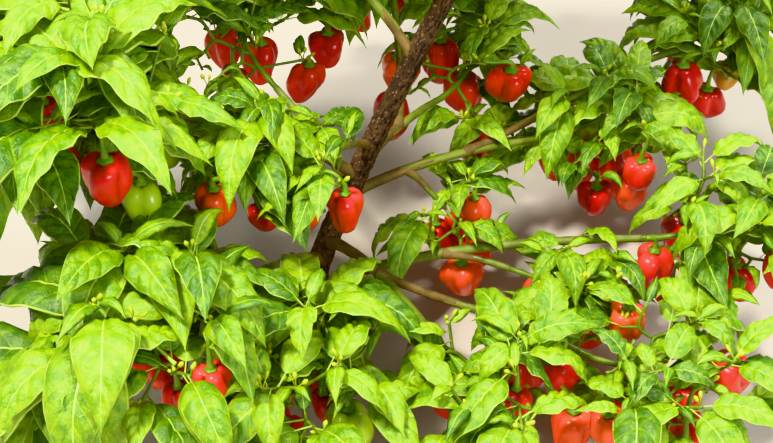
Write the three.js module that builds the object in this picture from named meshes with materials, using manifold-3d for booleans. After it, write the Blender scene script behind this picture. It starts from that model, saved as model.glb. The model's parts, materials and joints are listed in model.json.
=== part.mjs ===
// Chilli pepper plant of the lantern-fruited kind: a leaning woody stem, green boughs and leafy masses.
// Millimetres, +Z up. The origin is the middle of the flat cut at ground level, under the stem.
import * as THREE from "three";
import { mergeVertices } from "three/addons/utils/BufferGeometryUtils.js";
import Module from "manifold-3d";

const wasm = await Module();
wasm.setup();

// Main stem: it leans to the right and a little back, and flares just above the ground.
const TRUNK_LINE = [
  [0, 0, -14],
  [3, 1, 20],
  [20, 9, 85],
  [62, 27, 190],
  [118, 48, 315],
  [172, 62, 430],
];
const TRUNK = { foot: 12.6, fork: 8.2, tip: 5, flare: 9, flareHeight: 17, sides: 10, steps: 12 };

// Boughs: from a share of the way along their parent to where they enter their mass of leaves.
const BOUGH = { sides: 5, steps: 5, lift: 0.3, arch: 0.06, entry: 0.62, least: 0.45 };
const SEAT_GAP = 0.35;

// Each mass of leaves in order: its name, its bearing from +X in degrees, its reach from the origin, the
// height of its middle, half its width and half its height; then its bough: what carries it, the share of
// the way along that, and its radii at root and tip; last, the seed of its growth.
const MASS_ROWS = [
  ["left_high", 206, 203, 368, 150, 125, "trunk", 0.42, 5.6, 3.6, 1],
  ["left_low", 242, 262, 215, 148, 130, "trunk", 0.2, 6.2, 3.8, 2],
  ["left_back", 160, 232, 248, 132, 118, "trunk", 0.33, 5.2, 3.6, 3],
  ["centre_left", 264, 86, 284, 112, 95, "trunk", 0.5, 4.4, 3.4, 4],
  ["front", 274, 232, 152, 142, 116, "trunk", 0.15, 5.4, 3.6, 5],
  ["front_right", 308, 298, 134, 132, 106, "trunk", 0.25, 6.2, 3.8, 6],
  ["right_front", 327, 409, 128, 135, 106, "front_right", 0.45, 4.6, 3.4, 7],
  ["right_low", 349, 286, 100, 112, 84, "right", 0.42, 4.2, 3.2, 8],
  ["right", 357, 433, 150, 135, 120, "trunk", 0.12, 6.2, 3.8, 9],
  ["back_right", 26, 361, 150, 132, 112, "trunk", 0.37, 5.6, 3.6, 10],
  ["back_far", 31, 552, 190, 132, 118, "back_right", 0.6, 4.4, 3.4, 11],
  ["centre_right", 15, 167, 112, 84, 72, "back_right", 0.3, 3.6, 3, 12],
  ["back_near", 47, 271, 190, 122, 106, "trunk", 0.46, 5.2, 3.6, 13],
  ["back_left", 113, 186, 260, 132, 116, "trunk", 0.38, 5.4, 3.6, 14],
  ["back", 75, 359, 280, 135, 116, "back_near", 0.45, 4.4, 3.4, 15],
  ["top_left", 118, 150, 490, 132, 112, "trunk", 0.72, 5.2, 3.6, 16],
  ["top_front", 44, 140, 566, 124, 100, "trunk", 0.985, 6.6, 3.8, 17],
  ["top_right", 29, 312, 466, 135, 112, "trunk", 0.95, 6.2, 3.8, 40],
  ["top_back", 60, 340, 410, 130, 112, "top_right", 0.34, 4.4, 3.4, 19],
];
const WALL_GAP = 0.6;
const GROUND_CLEAR = 5;

// Twigs: tips spread evenly through the mass, joined to one stem by forks that halve them again and again.
const TIPS = { candidates: 300, inner: 0.3, reach: 0.66, margin: 14, spacing: 76, most: 7, fromStem: 34 };
const TWIG = { sides: 3, first: 0.92, stem: 12, fork: 0.48, thin: 0.84, least: 2.4, tip: 2.4, socket: 0.72 };
const TIP_GAP = 0.3;

// Leaves: they stand round a tip by the golden angle, the oldest lowest and longest, and arch over and hang.
// One that would not fit is turned a little to either side, then tried again shorter.
const LEAF = {
  perTip: 4,
  length: 136,
  younger: 0.085,
  wide: 0.47,
  bend: 0.45,
  pitch: 14,
  pitchStep: 7,
  droop: 62,
  fold: 0.034,
  edge: 0.6,
  step: 3.6,
  back: 25,
  sunk: 0.1,
  clear: 9,
};
const GOLDEN_ANGLE = 137.5;
const SWINGS = [0, 38, -38];
const SHRINKS = [1, 0.75];

// Fruit: lantern-shaped, three-lobed, hanging on a stalk from a fork. Levels and widths run down the fruit.
const FRUIT = { share: 0.8, stalk: 30, out: 13, thin: 1.8, sunk: 3, long: 43, wide: 21, sides: 6, lobe: 0.1 };
const FRUIT_LEVELS = [0, 0.2, 0.66, 1];
const FRUIT_WIDTHS = [0, 0.98, 0.76, 0];

const BARK = new THREE.MeshStandardMaterial({ color: 0x5f4936, roughness: 0.92, metalness: 0 });
const GREEN_STEM = new THREE.MeshStandardMaterial({ color: 0x66812c, roughness: 0.6, metalness: 0 });
const FOLIAGE = new THREE.MeshStandardMaterial({ color: 0x86c22c, roughness: 0.45, metalness: 0 });

const RADIANS = Math.PI / 180;
const UP = new THREE.Vector3(0, 0, 1);
const lerp = THREE.MathUtils.lerp;
const point = (x, y, z) => new THREE.Vector3(x, y, z);

// Numbers from 0 to 1 that are the same in every run.
function seeded(seed) {
  let state = (seed * 2654435761) >>> 0;
  return () => {
    state = (Math.imul(state, 1664525) + 1013904223) >>> 0;
    return state / 4294967296;
  };
}

// A closed solid from a geometry whose vertices are merged by position.
function solidOf(geometry) {
  const bare = new THREE.BufferGeometry();
  bare.setAttribute("position", geometry.getAttribute("position"));
  bare.setIndex(geometry.index);
  const merged = mergeVertices(bare, 1e-4);
  return new wasm.Manifold(
    new wasm.Mesh({
      numProp: 3,
      vertProperties: merged.attributes.position.array,
      triVerts: new Uint32Array(merged.index.array),
    }),
  );
}

function geometryOf(solid) {
  const mesh = solid.getMesh();
  const positions = new Float32Array(mesh.numVert * 3);
  for (let i = 0; i < mesh.numVert; i++) {
    positions.set(mesh.vertProperties.subarray(i * mesh.numProp, i * mesh.numProp + 3), i * 3);
  }
  const geometry = new THREE.BufferGeometry();
  geometry.setAttribute("position", new THREE.BufferAttribute(positions, 3));
  geometry.setIndex(new THREE.BufferAttribute(mesh.triVerts, 1));
  geometry.computeVertexNormals();
  return geometry;
}

const touches = (a, b) => a.intersect(b).volume() > 1e-6;

function largestPiece(solid) {
  const pieces = solid.decompose();
  return pieces.reduce((best, piece) => (piece.volume() > best.volume() ? piece : best));
}

// A tapering limb: a cylinder whose rings are carried to the given centres and radii.
function tubeSolid(centres, radii, sides) {
  const steps = centres.length - 1;
  const geometry = new THREE.CylinderGeometry(1, 1, 1, sides, steps);
  const ways = centres.map((_, i) => wayAt(centres, i));
  const normal = ways[0].clone().cross(Math.abs(ways[0].z) < 0.9 ? UP : point(1, 0, 0));
  const frames = ways.map((way) => {
    normal.addScaledVector(way, -normal.dot(way)).normalize();
    return { normal: normal.clone(), binormal: way.clone().cross(normal) };
  });
  const position = geometry.getAttribute("position");
  for (let i = 0; i < position.count; i++) {
    const ring = Math.round((position.getY(i) + 0.5) * steps);
    const corner = centres[ring].clone();
    corner.addScaledVector(frames[ring].normal, position.getX(i) * radii[ring]);
    corner.addScaledVector(frames[ring].binormal, -position.getZ(i) * radii[ring]);
    position.setXYZ(i, corner.x, corner.y, corner.z);
  }
  return solidOf(geometry);
}

function wayAt(centres, i) {
  const before = centres[Math.max(i - 1, 0)];
  const after = centres[Math.min(i + 1, centres.length - 1)];
  return after.clone().sub(before).normalize();
}

// The main stem, with its flare, cut flat at the ground.
const trunkCurve = new THREE.CatmullRomCurve3(TRUNK_LINE.map((p) => point(...p)));
function trunkSolid(extra) {
  const centres = trunkCurve.getSpacedPoints(TRUNK.steps);
  const radii = centres.map((centre, i) => {
    const flare = TRUNK.flare * Math.exp(-Math.max(centre.z, 0) / TRUNK.flareHeight);
    const upper = i < TRUNK.steps ? TRUNK.fork : TRUNK.tip;
    return lerp(TRUNK.foot, upper, i / TRUNK.steps) + flare + extra;
  });
  return tubeSolid(centres, radii, TRUNK.sides).trimByPlane([0, 0, 1], 0);
}

// A bough's line: it leaves its parent, lifts, and ends where it enters its mass.
function boughCurve(mass, parentCurve) {
  const root = parentCurve.getPointAt(mass.at);
  const along = mass.centre.clone().sub(root);
  const scaled = Math.hypot(along.x / mass.wide, along.y / mass.wide, along.z / mass.tall);
  const end = root.clone().addScaledVector(along, Math.max(1 - BOUGH.entry / scaled, BOUGH.least));
  const span = end.distanceTo(root);
  const parentWay = parentCurve.getTangentAt(mass.at);
  const leave = end.clone().sub(root).normalize().addScaledVector(parentWay, BOUGH.lift).normalize();
  const first = root.clone().addScaledVector(leave, span * 0.36);
  const second = end.clone().lerp(root, 0.34).addScaledVector(UP, span * BOUGH.arch);
  return new THREE.CubicBezierCurve3(root, first, second, end);
}

function boughSolid(mass, extra) {
  const centres = mass.curve.getSpacedPoints(BOUGH.steps);
  const radii = centres.map((_, i) => lerp(mass.thick, mass.thin, i / BOUGH.steps) + extra);
  return tubeSolid(centres, radii, BOUGH.sides);
}

// The masses, each with its middle.
const MASSES = MASS_ROWS.map(([name, bearing, reach, height, wide, tall, from, at, thick, thin, seed]) => ({
  name,
  centre: point(reach * Math.cos(bearing * RADIANS), reach * Math.sin(bearing * RADIANS), height),
  wide,
  tall,
  from,
  at,
  thick,
  thin,
  seed,
}));

// The space a mass keeps to: an ellipsoid, cut by a flat wall towards each other mass.
function spaceOf(mass) {
  const walls = MASSES.filter((other) => other !== mass).map((other) => {
    const away = other.centre.clone().sub(mass.centre);
    const apart = away.length();
    const squares = other.centre.lengthSq() - mass.centre.lengthSq();
    const weights = mass.wide ** 2 - other.wide ** 2;
    return { normal: away.divideScalar(apart), offset: (squares + weights) / (2 * apart) - WALL_GAP };
  });
  return { centre: mass.centre, halves: point(mass.wide, mass.wide, mass.tall), walls };
}

function isInside(space, p, margin) {
  const rounded = p.clone().sub(space.centre).divide(space.halves).length() <= 1;
  const above = p.z >= GROUND_CLEAR + margin;
  return rounded && above && space.walls.every((wall) => wall.normal.dot(p) <= wall.offset - margin);
}

// Where twigs end in a mass: of many seeded places, those that lie furthest from each other.
function spreadTips(space, stemStart, random) {
  const places = [];
  for (let i = 0; i < TIPS.candidates; i++) {
    const offset = point(random() * 2 - 1, random() * 2 - 1, random() * 2 - 1);
    const share = offset.length();
    const p = offset.multiplyScalar(TIPS.reach).multiply(space.halves).add(space.centre);
    const fits = share <= 1 && share >= TIPS.inner && isInside(space, p, TIPS.margin);
    if (fits && p.distanceTo(stemStart) >= TIPS.fromStem) places.push(p);
  }
  const chosen = [];
  while (chosen.length < TIPS.most && places.length) {
    const from = chosen.length ? chosen : [stemStart];
    const room = places.map((p) => Math.min(...from.map((q) => p.distanceTo(q))));
    const widest = Math.max(...room);
    if (chosen.length && widest < TIPS.spacing) break;
    chosen.push(places[room.indexOf(widest)]);
  }
  return chosen;
}

// Forks halve the tips along the line between the two that lie furthest apart, down to one twig a tip.
function growTwigs(from, tips, radius) {
  if (tips.length === 1) return { from, to: tips[0], root: radius, end: TWIG.tip, children: [] };
  const middle = tips.reduce((sum, p) => sum.add(p), point(0, 0, 0)).divideScalar(tips.length);
  const fork = from.clone().lerp(middle, TWIG.fork);
  const axis = widestLine(tips);
  const sorted = [...tips].sort((a, b) => a.dot(axis) - b.dot(axis));
  const half = Math.ceil(sorted.length / 2);
  const next = Math.max(radius * TWIG.thin, TWIG.least);
  const children = [sorted.slice(0, half), sorted.slice(half)].map((share) => growTwigs(fork, share, next));
  return { from, to: fork, root: radius, end: next, children };
}

function widestLine(places) {
  const lines = places.flatMap((a) => places.map((b) => b.clone().sub(a)));
  return lines.reduce((longest, line) => (line.lengthSq() > longest.lengthSq() ? line : longest));
}

// Leaves out each twig that would touch a limb, with all that grows from it.
function pruneTwigs(twig, limbs) {
  twig.children = twig.children.filter((child) => {
    const solid = tubeSolid([child.from, child.to], [child.root, child.end], TWIG.sides);
    return !touches(solid, limbs);
  });
  twig.children.forEach((child) => pruneTwigs(child, limbs));
}

// The twigs as long runs: each goes on through its forks, and others start inside it there.
function twigRuns(twig, run, runs) {
  run.push(twig);
  twig.children.forEach((child, i) => {
    if (i === 0) {
      twigRuns(child, run, runs);
      return;
    }
    const started = [];
    runs.push(started);
    twigRuns(child, started, runs);
  });
  return runs;
}

function runSolid(run, index) {
  const centres = [run[0].from, ...run.map((twig) => twig.to)];
  const radii = [run[0].root * (index ? TWIG.socket : 1), ...run.map((twig) => twig.end)];
  return tubeSolid(centres, radii, TWIG.sides);
}

// A leaf's measures: k is 0 for the oldest leaf of a tip and grows towards the bud.
function leafPlan(root, k, phase, random) {
  const bearing = phase + k * GOLDEN_ANGLE + (random() - 0.5) * 36;
  const length = LEAF.length * (1 - LEAF.younger * k) * (0.84 + 0.32 * random());
  const pitch = (LEAF.pitch + LEAF.pitchStep * k + (random() - 0.5) * 22) * RADIANS;
  const droop = LEAF.droop * (0.75 + 0.5 * random()) * RADIANS;
  return { root, bearing, length, pitch, droop };
}

// The six corners of a leaf that rises from its root, arches at its widest and hangs to its tip.
function leafCorners(plan, swing, shrink, start) {
  const bearing = (plan.bearing + swing) * RADIANS;
  const length = plan.length * shrink;
  const out = point(Math.cos(bearing), Math.sin(bearing), 0);
  const side = UP.clone().cross(out);
  const heading = (angle) => out.clone().multiplyScalar(Math.cos(angle)).addScaledVector(UP, Math.sin(angle));
  const rise = heading(plan.pitch);
  const fall = heading(plan.pitch - plan.droop);
  const face = heading(plan.pitch - plan.droop / 2 + Math.PI / 2);
  const root = plan.root.clone().addScaledVector(rise, start);
  const middle = plan.root.clone().addScaledVector(rise, length * LEAF.bend);
  const lowered = middle.clone().addScaledVector(face, -length * LEAF.fold);
  return [
    root.clone().addScaledVector(face, LEAF.edge),
    root.clone().addScaledVector(face, -LEAF.edge),
    lowered.clone().addScaledVector(side, (length * LEAF.wide) / 2),
    lowered.clone().addScaledVector(side, (-length * LEAF.wide) / 2),
    middle.clone().addScaledVector(face, LEAF.edge),
    middle.clone().addScaledVector(fall, length * (1 - LEAF.bend)),
  ];
}

function leafSolid(corners) {
  const geometry = new THREE.BufferGeometry().setFromPoints(corners);
  const faces = [
    [0, 4, 2],
    [0, 3, 4],
    [2, 4, 5],
    [4, 3, 5],
    [1, 2, 3],
    [2, 5, 3],
    [0, 2, 1],
    [0, 1, 3],
  ];
  geometry.setIndex(faces.flat());
  return solidOf(geometry);
}

// A fruit hangs plumb from its stalk, widest at the shoulder and drawn in to a blunt point.
function fruitPlan(root, random) {
  const bearing = random() * 360 * RADIANS;
  const stalk = FRUIT.stalk * (0.8 + 0.4 * random());
  const size = 0.84 + 0.3 * random();
  const top = root.clone().add(point(FRUIT.out * Math.cos(bearing), FRUIT.out * Math.sin(bearing), -stalk));
  return { root, top, long: FRUIT.long * size, wide: FRUIT.wide * size, turn: bearing };
}

function fruitPoint(plan, level, around) {
  const radius = plan.wide * FRUIT_WIDTHS[level] * (1 + FRUIT.lobe * Math.cos(around * (FRUIT.sides / 2)));
  const bearing = plan.turn - around;
  return plan.top
    .clone()
    .add(point(radius * Math.cos(bearing), radius * Math.sin(bearing), -plan.long * FRUIT_LEVELS[level]));
}

function fruitSolid(plan) {
  const rings = FRUIT_LEVELS.length - 1;
  const geometry = new THREE.SphereGeometry(1, FRUIT.sides, rings);
  const position = geometry.getAttribute("position");
  for (let i = 0; i < position.count; i++) {
    const fromPole = Math.acos(THREE.MathUtils.clamp(position.getY(i), -1, 1)) / Math.PI;
    const around = Math.atan2(position.getZ(i), position.getX(i));
    const corner = fruitPoint(plan, Math.round(fromPole * rings), around);
    position.setXYZ(i, corner.x, corner.y, corner.z);
  }
  return solidOf(geometry);
}

function stalkSolid(plan) {
  const end = plan.top.clone().addScaledVector(UP, -FRUIT.sunk);
  return tubeSolid([plan.root, end], [FRUIT.thin, FRUIT.thin], TWIG.sides);
}

function fruitFits(space, plan) {
  const corners = [0, 90, 180, 270].map((turn) => fruitPoint(plan, 1, turn * RADIANS));
  corners.push(fruitPoint(plan, FRUIT_LEVELS.length - 1, 0));
  return corners.every((p) => isInside(space, p, 0));
}

// Fuses on the fruit of one fork, if it has one and it fits.
function withFruit(body, twig, space, limbs, random) {
  if (twig.children.length === 0 || random() > FRUIT.share) return body;
  const plan = fruitPlan(twig.to, random);
  const fruit = fruitSolid(plan);
  const stalk = stalkSolid(plan);
  if (!fruitFits(space, plan) || touches(fruit, body) || touches(fruit.add(stalk), limbs)) return body;
  return body.add(fruit).add(stalk);
}

// Fuses on a leaf the first way it fits: inside the space, clear of limbs and of all that is there.
function withLeaf(body, plan, space, limbs) {
  for (const shrink of SHRINKS) {
    for (const swing of SWINGS) {
      const corners = leafCorners(plan, swing, shrink, -LEAF.sunk);
      const clear = leafSolid(leafCorners(plan, swing, shrink, LEAF.clear));
      const fits = corners.slice(2).every((p) => isInside(space, p, 0));
      if (fits && !touches(clear, body) && !touches(clear, limbs)) return body.add(leafSolid(corners));
    }
  }
  return body;
}

// The leaves of one twig: a whorl near a tip, a single one at a fork.
function leafPlans(twig, random) {
  const isTip = twig.children.length === 0;
  const heading = twig.to.clone().sub(twig.from).normalize();
  const phase = random() * 360;
  return Array.from({ length: isTip ? LEAF.perTip : 1 }, (_, k) => {
    const back = isTip ? LEAF.back - k * LEAF.step : 0;
    return leafPlan(twig.to.clone().addScaledVector(heading, -back), k, phase, random);
  });
}

// Everything of one mass, fused: twigs, then fruit, then leaves.
function massSolid(mass, limbs) {
  const space = spaceOf(mass);
  const root = mass.end.clone().addScaledVector(mass.way, TIP_GAP);
  const node = mass.end.clone().addScaledVector(mass.way, TWIG.stem);
  const radius = mass.thin * TWIG.first;
  const tips = spreadTips(space, node, seeded(mass.seed));
  const stem = { from: root, to: node, root: radius, end: radius, children: [growTwigs(node, tips, radius)] };
  pruneTwigs(stem, limbs);
  const first = [];
  const runs = twigRuns(stem, first, [first]);
  const twigs = runs.flat().filter((twig) => twig !== stem);
  let body = wasm.Manifold.union(runs.map(runSolid));
  twigs.forEach((twig, i) => {
    body = withFruit(body, twig, space, limbs, seeded(mass.seed * 100 + 50 + i));
  });
  const leaves = twigs.flatMap((twig, i) => leafPlans(twig, seeded(mass.seed * 100 + i)));
  for (const leaf of leaves) body = withLeaf(body, leaf, space, limbs);
  return largestPiece(body);
}

function meshOf(name, solid, material) {
  const mesh = new THREE.Mesh(geometryOf(solid), material);
  mesh.name = name;
  return mesh;
}

// Lays out a mass's bough, after the bough that carries it: its line, its end and its heading there.
function layOut(mass) {
  if (mass.curve) return mass.curve;
  const carrier = MASSES.find((other) => other.name === mass.from);
  mass.curve = boughCurve(mass, carrier ? layOut(carrier) : trunkCurve);
  const centres = mass.curve.getSpacedPoints(BOUGH.steps);
  mass.end = centres[BOUGH.steps];
  mass.way = wayAt(centres, BOUGH.steps);
  return mass.curve;
}
MASSES.forEach(layOut);

// The plant: the stem, the boughs seated against what carries them, then the masses.
const plant = new THREE.Group();
plant.add(meshOf("trunk", trunkSolid(0), BARK));
let limbs = trunkSolid(SEAT_GAP);
const onTrunk = MASSES.filter((mass) => mass.from === "trunk");
const onBoughs = MASSES.filter((mass) => mass.from !== "trunk");
for (const mass of [...onTrunk, ...onBoughs]) {
  const seated = largestPiece(boughSolid(mass, 0).subtract(limbs));
  plant.add(meshOf(`bough_${mass.name}`, seated, GREEN_STEM));
  limbs = limbs.add(boughSolid(mass, SEAT_GAP));
}
for (const mass of MASSES) {
  plant.add(meshOf(`leaves_${mass.name}`, massSolid(mass, limbs), FOLIAGE));
}

export default plant;
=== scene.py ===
"""Chilli pepper plant: bark, boughs, twigs, veined leaves and lantern fruit over the plain solids.

All growth is worked out in millimetres, and piece() turns it into metres.
"""

import json
import math

import bpy
import numpy as np
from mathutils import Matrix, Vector, noise

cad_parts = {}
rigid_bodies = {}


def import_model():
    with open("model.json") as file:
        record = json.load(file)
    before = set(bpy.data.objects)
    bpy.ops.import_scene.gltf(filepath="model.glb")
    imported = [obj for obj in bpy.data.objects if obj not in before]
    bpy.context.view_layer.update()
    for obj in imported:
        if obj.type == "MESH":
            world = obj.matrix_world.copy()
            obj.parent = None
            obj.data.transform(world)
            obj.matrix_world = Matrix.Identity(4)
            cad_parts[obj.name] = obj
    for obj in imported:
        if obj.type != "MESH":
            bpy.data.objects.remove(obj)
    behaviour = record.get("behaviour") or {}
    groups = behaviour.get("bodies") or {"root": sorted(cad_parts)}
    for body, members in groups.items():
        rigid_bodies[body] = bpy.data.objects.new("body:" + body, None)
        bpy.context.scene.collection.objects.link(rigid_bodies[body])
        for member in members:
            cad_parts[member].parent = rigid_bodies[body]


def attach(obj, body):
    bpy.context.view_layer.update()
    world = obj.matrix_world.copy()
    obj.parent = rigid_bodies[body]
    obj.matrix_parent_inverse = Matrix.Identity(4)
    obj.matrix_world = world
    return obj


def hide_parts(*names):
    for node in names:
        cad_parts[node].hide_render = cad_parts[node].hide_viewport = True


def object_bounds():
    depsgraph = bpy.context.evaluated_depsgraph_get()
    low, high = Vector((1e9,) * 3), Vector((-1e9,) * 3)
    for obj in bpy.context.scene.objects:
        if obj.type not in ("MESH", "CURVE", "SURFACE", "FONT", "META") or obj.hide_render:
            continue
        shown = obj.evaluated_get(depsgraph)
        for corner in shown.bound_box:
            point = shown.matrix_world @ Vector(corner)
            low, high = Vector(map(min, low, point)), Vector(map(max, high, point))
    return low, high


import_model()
cad_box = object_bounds()
scene = bpy.context.scene

norm = np.linalg.norm
MM = 0.001
UP = np.array([0.0, 0.0, 1.0])

# The turn from one leaf to the next, and the span of seeded phases, in radians.
TURN = math.radians(137.5)
PHASE = 6.28

# Main stem: the line it follows, its radii at foot, fork and tip, and its root flare.
TRUNK_LINE = [(0, 0, -14), (3, 1, 20), (20, 9, 85), (62, 27, 190), (118, 48, 315), (172, 62, 430)]
TRUNK = {"foot": 12.6, "fork": 8.2, "tip": 5, "flare": 9, "flare_height": 17}

# Boughs, all in shares: the parent's heading kept, the arch, where they end in a mass, the inner points.
BOUGH = {"lift": 0.3, "arch": 0.06, "entry": 0.62, "least": 0.45, "first": 0.36, "second": 0.34}

# Each mass of leaves: name, bearing from +X in degrees, reach from the origin, height of its middle, half
# its width and height; its bough's carrier, place on that and two radii; seed.
MASS_ROWS = [
    ("left_high", 206, 203, 368, 150, 125, "trunk", 0.42, 5.6, 3.6, 1),
    ("left_low", 242, 262, 215, 148, 130, "trunk", 0.2, 6.2, 3.8, 2),
    ("left_back", 160, 232, 248, 132, 118, "trunk", 0.33, 5.2, 3.6, 3),
    ("centre_left", 264, 86, 284, 112, 95, "trunk", 0.5, 4.4, 3.4, 4),
    ("front", 274, 232, 152, 142, 116, "trunk", 0.15, 5.4, 3.6, 5),
    ("front_right", 308, 298, 134, 132, 106, "trunk", 0.25, 6.2, 3.8, 6),
    ("right_front", 327, 409, 128, 135, 106, "front_right", 0.45, 4.6, 3.4, 7),
    ("right_low", 349, 286, 100, 112, 84, "right", 0.42, 4.2, 3.2, 8),
    ("right", 357, 433, 150, 135, 120, "trunk", 0.12, 6.2, 3.8, 9),
    ("back_right", 26, 361, 150, 132, 112, "trunk", 0.37, 5.6, 3.6, 10),
    ("back_far", 31, 552, 190, 132, 118, "back_right", 0.6, 4.4, 3.4, 11),
    ("centre_right", 15, 167, 112, 84, 72, "back_right", 0.3, 3.6, 3, 12),
    ("back_near", 47, 271, 190, 122, 106, "trunk", 0.46, 5.2, 3.6, 13),
    ("back_left", 113, 186, 260, 132, 116, "trunk", 0.38, 5.4, 3.6, 14),
    ("back", 75, 359, 280, 135, 116, "back_near", 0.45, 4.4, 3.4, 15),
    ("top_left", 118, 150, 490, 132, 112, "trunk", 0.72, 5.2, 3.6, 16),
    ("top_front", 44, 140, 566, 124, 100, "trunk", 0.985, 6.6, 3.8, 17),
    ("top_right", 29, 312, 466, 135, 112, "trunk", 0.95, 6.2, 3.8, 40),
    ("top_back", 60, 340, 410, 130, 112, "top_right", 0.34, 4.4, 3.4, 19),
]

# The masses whose leaves make one piece, and the size of each region's leaves.
REGIONS = {
    "left": ["left_high", "left_low", "left_back"],
    "front": ["centre_left", "front", "front_right"],
    "right": ["right_front", "right_low", "right", "centre_right"],
    "back_right": ["back_right", "back_far", "back_near"],
    "back": ["back_left", "back", "top_left"],
    "top": ["top_front", "top_right", "top_back"],
}
LEAF_SCALE = {"left": 1.25, "front": 0.9, "right": 0.78, "back_right": 0.86, "back": 0.95, "top": 0.92}

# Half the gap between the walls of two masses.
WALL_GAP = 0.6

# Twig tips: the places drawn, their shares of the mass's size, their least distances, the most there are.
TIPS = {
    "candidates": 300, "inner": 0.3, "reach": 0.66, "margin": 14, "from_stem": 34, "spacing": 33, "most": 26,
}

# Twigs: shares for the radii, the least radii, the stem's length, where twigs fork, the gap to limbs.
TWIG = {"first": 0.92, "thin": 0.84, "least": 1.9, "tip": 1.5, "stem": 12, "fork": 0.48, "gap": 0.5}

# Full-grown leaves at a tip: their number, how far back they root, their size, their angles in degrees.
LEAF = {
    "count": 5, "back": 25, "step": 3.6, "length": 136, "younger": 0.085, "wide": 0.46,
    "pitch": 14, "pitch_step": 6, "droop": 68,
}

# The share of a leaf's length that is its stalk.
PETIOLE = 0.15

# A twig's two young leaves: their odds at a tip and a fork, how far back they root, and their shares of a
# full-grown leaf's length, breadth and pucker.
YOUNG_ROWS = [
    {"tip": 0.95, "fork": 0.25, "back": 8, "long": 0.76},
    {"tip": 0.35, "fork": 0, "back": 4, "long": 0.56},
]
YOUNG = {"breadth": 0.86, "pucker": 0.6, "room": -5}

# Fruit: the most at a fork, their odds, the stalk's length and reach, the fruit's length, half width and
# core as a share of that, and the gap to limbs.
FRUIT = {"most": 2, "odds": 0.64, "stalk": 30, "out": 13, "long": 43, "wide": 21, "core": 0.8, "gap": 1}

# The room round each thing, and its distance inside its mass's walls: below 0 is past them.
ROOM = {"stem": 2, "twig": 5, "leaf": 11, "limb": 3, "fruit": 6, "trunk": 15, "gap": 19}
MARGIN = {"leaf": -18, "fruit": -12, "seen": -22}

# How far what may pass the walls keeps: times the mass's size, past the solids' box, above the ground.
LOOSE = 1.5
PAST_BOX = 24
ABOVE_GROUND = 5

# The first seed of each kind of growth in a mass.
SEED = {"leaf": 0, "fruit": 50, "bud": 80}

# The camera's place and downward tilt, its picture's size, its focal length and its sensor's width.
EYE = np.array([88.0, -1273.0, 1205.7])
TILT = math.radians(40)
PICTURE = (773, 443)
FOCAL = 75
SENSOR = 36
FORWARD = np.array([0, math.cos(TILT), -math.sin(TILT)])

# Where fruit shows whole and where in part, in the picture's units from its top left.
SEEN_WHOLE = [
    (225, 50), (262, 62), (310, 84), (328, 48), (398, 76), (392, 116),
    (440, 62), (461, 92), (487, 55), (510, 88), (595, 200), (640, 174),
]
SEEN_FRUIT = [
    (215, 207), (190, 322), (212, 384), (266, 384), (312, 384), (370, 272), (486, 142), (474, 212),
    (680, 86), (652, 270), (702, 292), (626, 324), (562, 372), (730, 380), (606, 432), (572, 428),
    (108, 180), (46, 122), (520, 372), (684, 430), (345, 212), (575, 90),
]
SEEN_GREEN = [(143, 200), (590, 128)]
SEEN_YELLOW = [(726, 76)]

# Where gaps between the leaves show.
SEEN_GAPS = [
    (420, 206), (447, 234), (428, 184), (545, 205), (522, 222), (616, 218), (572, 236), (480, 266),
    (515, 276), (438, 303), (460, 336), (515, 400), (432, 420), (602, 358), (542, 436), (352, 412),
    (170, 370), (236, 232), (12, 330), (18, 262), (155, 385), (384, 350), (300, 420), (700, 402),
    (655, 320), (194, 28), (200, 76), (292, 28), (352, 64), (545, 44), (704, 166), (752, 252),
    (756, 300), (664, 228),
]

# Nodes for fruit in sight: their places on a twig, the fruit's drop, the most they lie aside and what that
# weighs, and how far above it they lie.
NODE = {"shares": (0.5, 1), "drop": 50, "aside": 84, "weight": 1.6, "above": 6}

# Lines of sight without leaves: their points' distance and number, and how near a mass they matter.
SIGHT_POINTS = {"fruit": (15, 36), "trunk": (20, 25), "gap": (30, 25)}
SIGHT_REACH = 90


def seeded(seed):
    """Numbers from 0 to 1 that are the same in every run."""
    state = (seed * 2654435761) % 2**32

    def draw():
        nonlocal state
        state = (state * 1664525 + 1013904223) % 2**32
        return state / 2**32

    return draw


def unit(v):
    return v / norm(v)


def smooth(x):
    x = np.clip(x, 0, 1)
    return x * x * (3 - 2 * x)


class Line:
    """A curve that is read by the share of its length."""

    def __init__(self, point):
        self.point = point
        self.steps = np.linspace(0, 1, 201)
        places = np.array([point(t) for t in self.steps])
        self.length = np.concatenate([[0], np.cumsum(norm(np.diff(places, axis=0), axis=1))])

    def step(self, share):
        return float(np.interp(share * self.length[-1], self.length, self.steps))

    def at(self, share):
        return self.point(self.step(share))

    def places(self, shares):
        return np.array([self.at(share) for share in shares])

    def way(self, share):
        t = self.step(share)
        return unit(self.point(min(t + 1e-4, 1)) - self.point(max(t - 1e-4, 0)))


def spline_point(knots, t):
    """A point of the centripetal Catmull-Rom curve through the knots."""
    last = len(knots) - 1
    i = min(int(last * t), last - 1)
    share = last * t - i
    p1, p2 = knots[i], knots[i + 1]
    p0 = knots[i - 1] if i else 2 * p1 - p2
    p3 = knots[i + 2] if i + 2 <= last else 2 * p2 - p1
    gaps = [max(norm(b - a) ** 0.5, 1e-6) for a, b in ((p0, p1), (p1, p2), (p2, p3))]
    start = (p1 - p0) / gaps[0] - (p2 - p0) / (gaps[0] + gaps[1]) + (p2 - p1) / gaps[1]
    stop = (p2 - p1) / gaps[1] - (p3 - p1) / (gaps[1] + gaps[2]) + (p3 - p2) / gaps[2]
    start, stop = start * gaps[1], stop * gaps[1]
    square = -3 * p1 + 3 * p2 - 2 * start - stop
    cube = 2 * p1 - 2 * p2 + start + stop
    return p1 + start * share + square * share**2 + cube * share**3


def spline(knots):
    knots = [np.array(k, float) for k in knots]
    return Line(lambda t: spline_point(knots, t))


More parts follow.
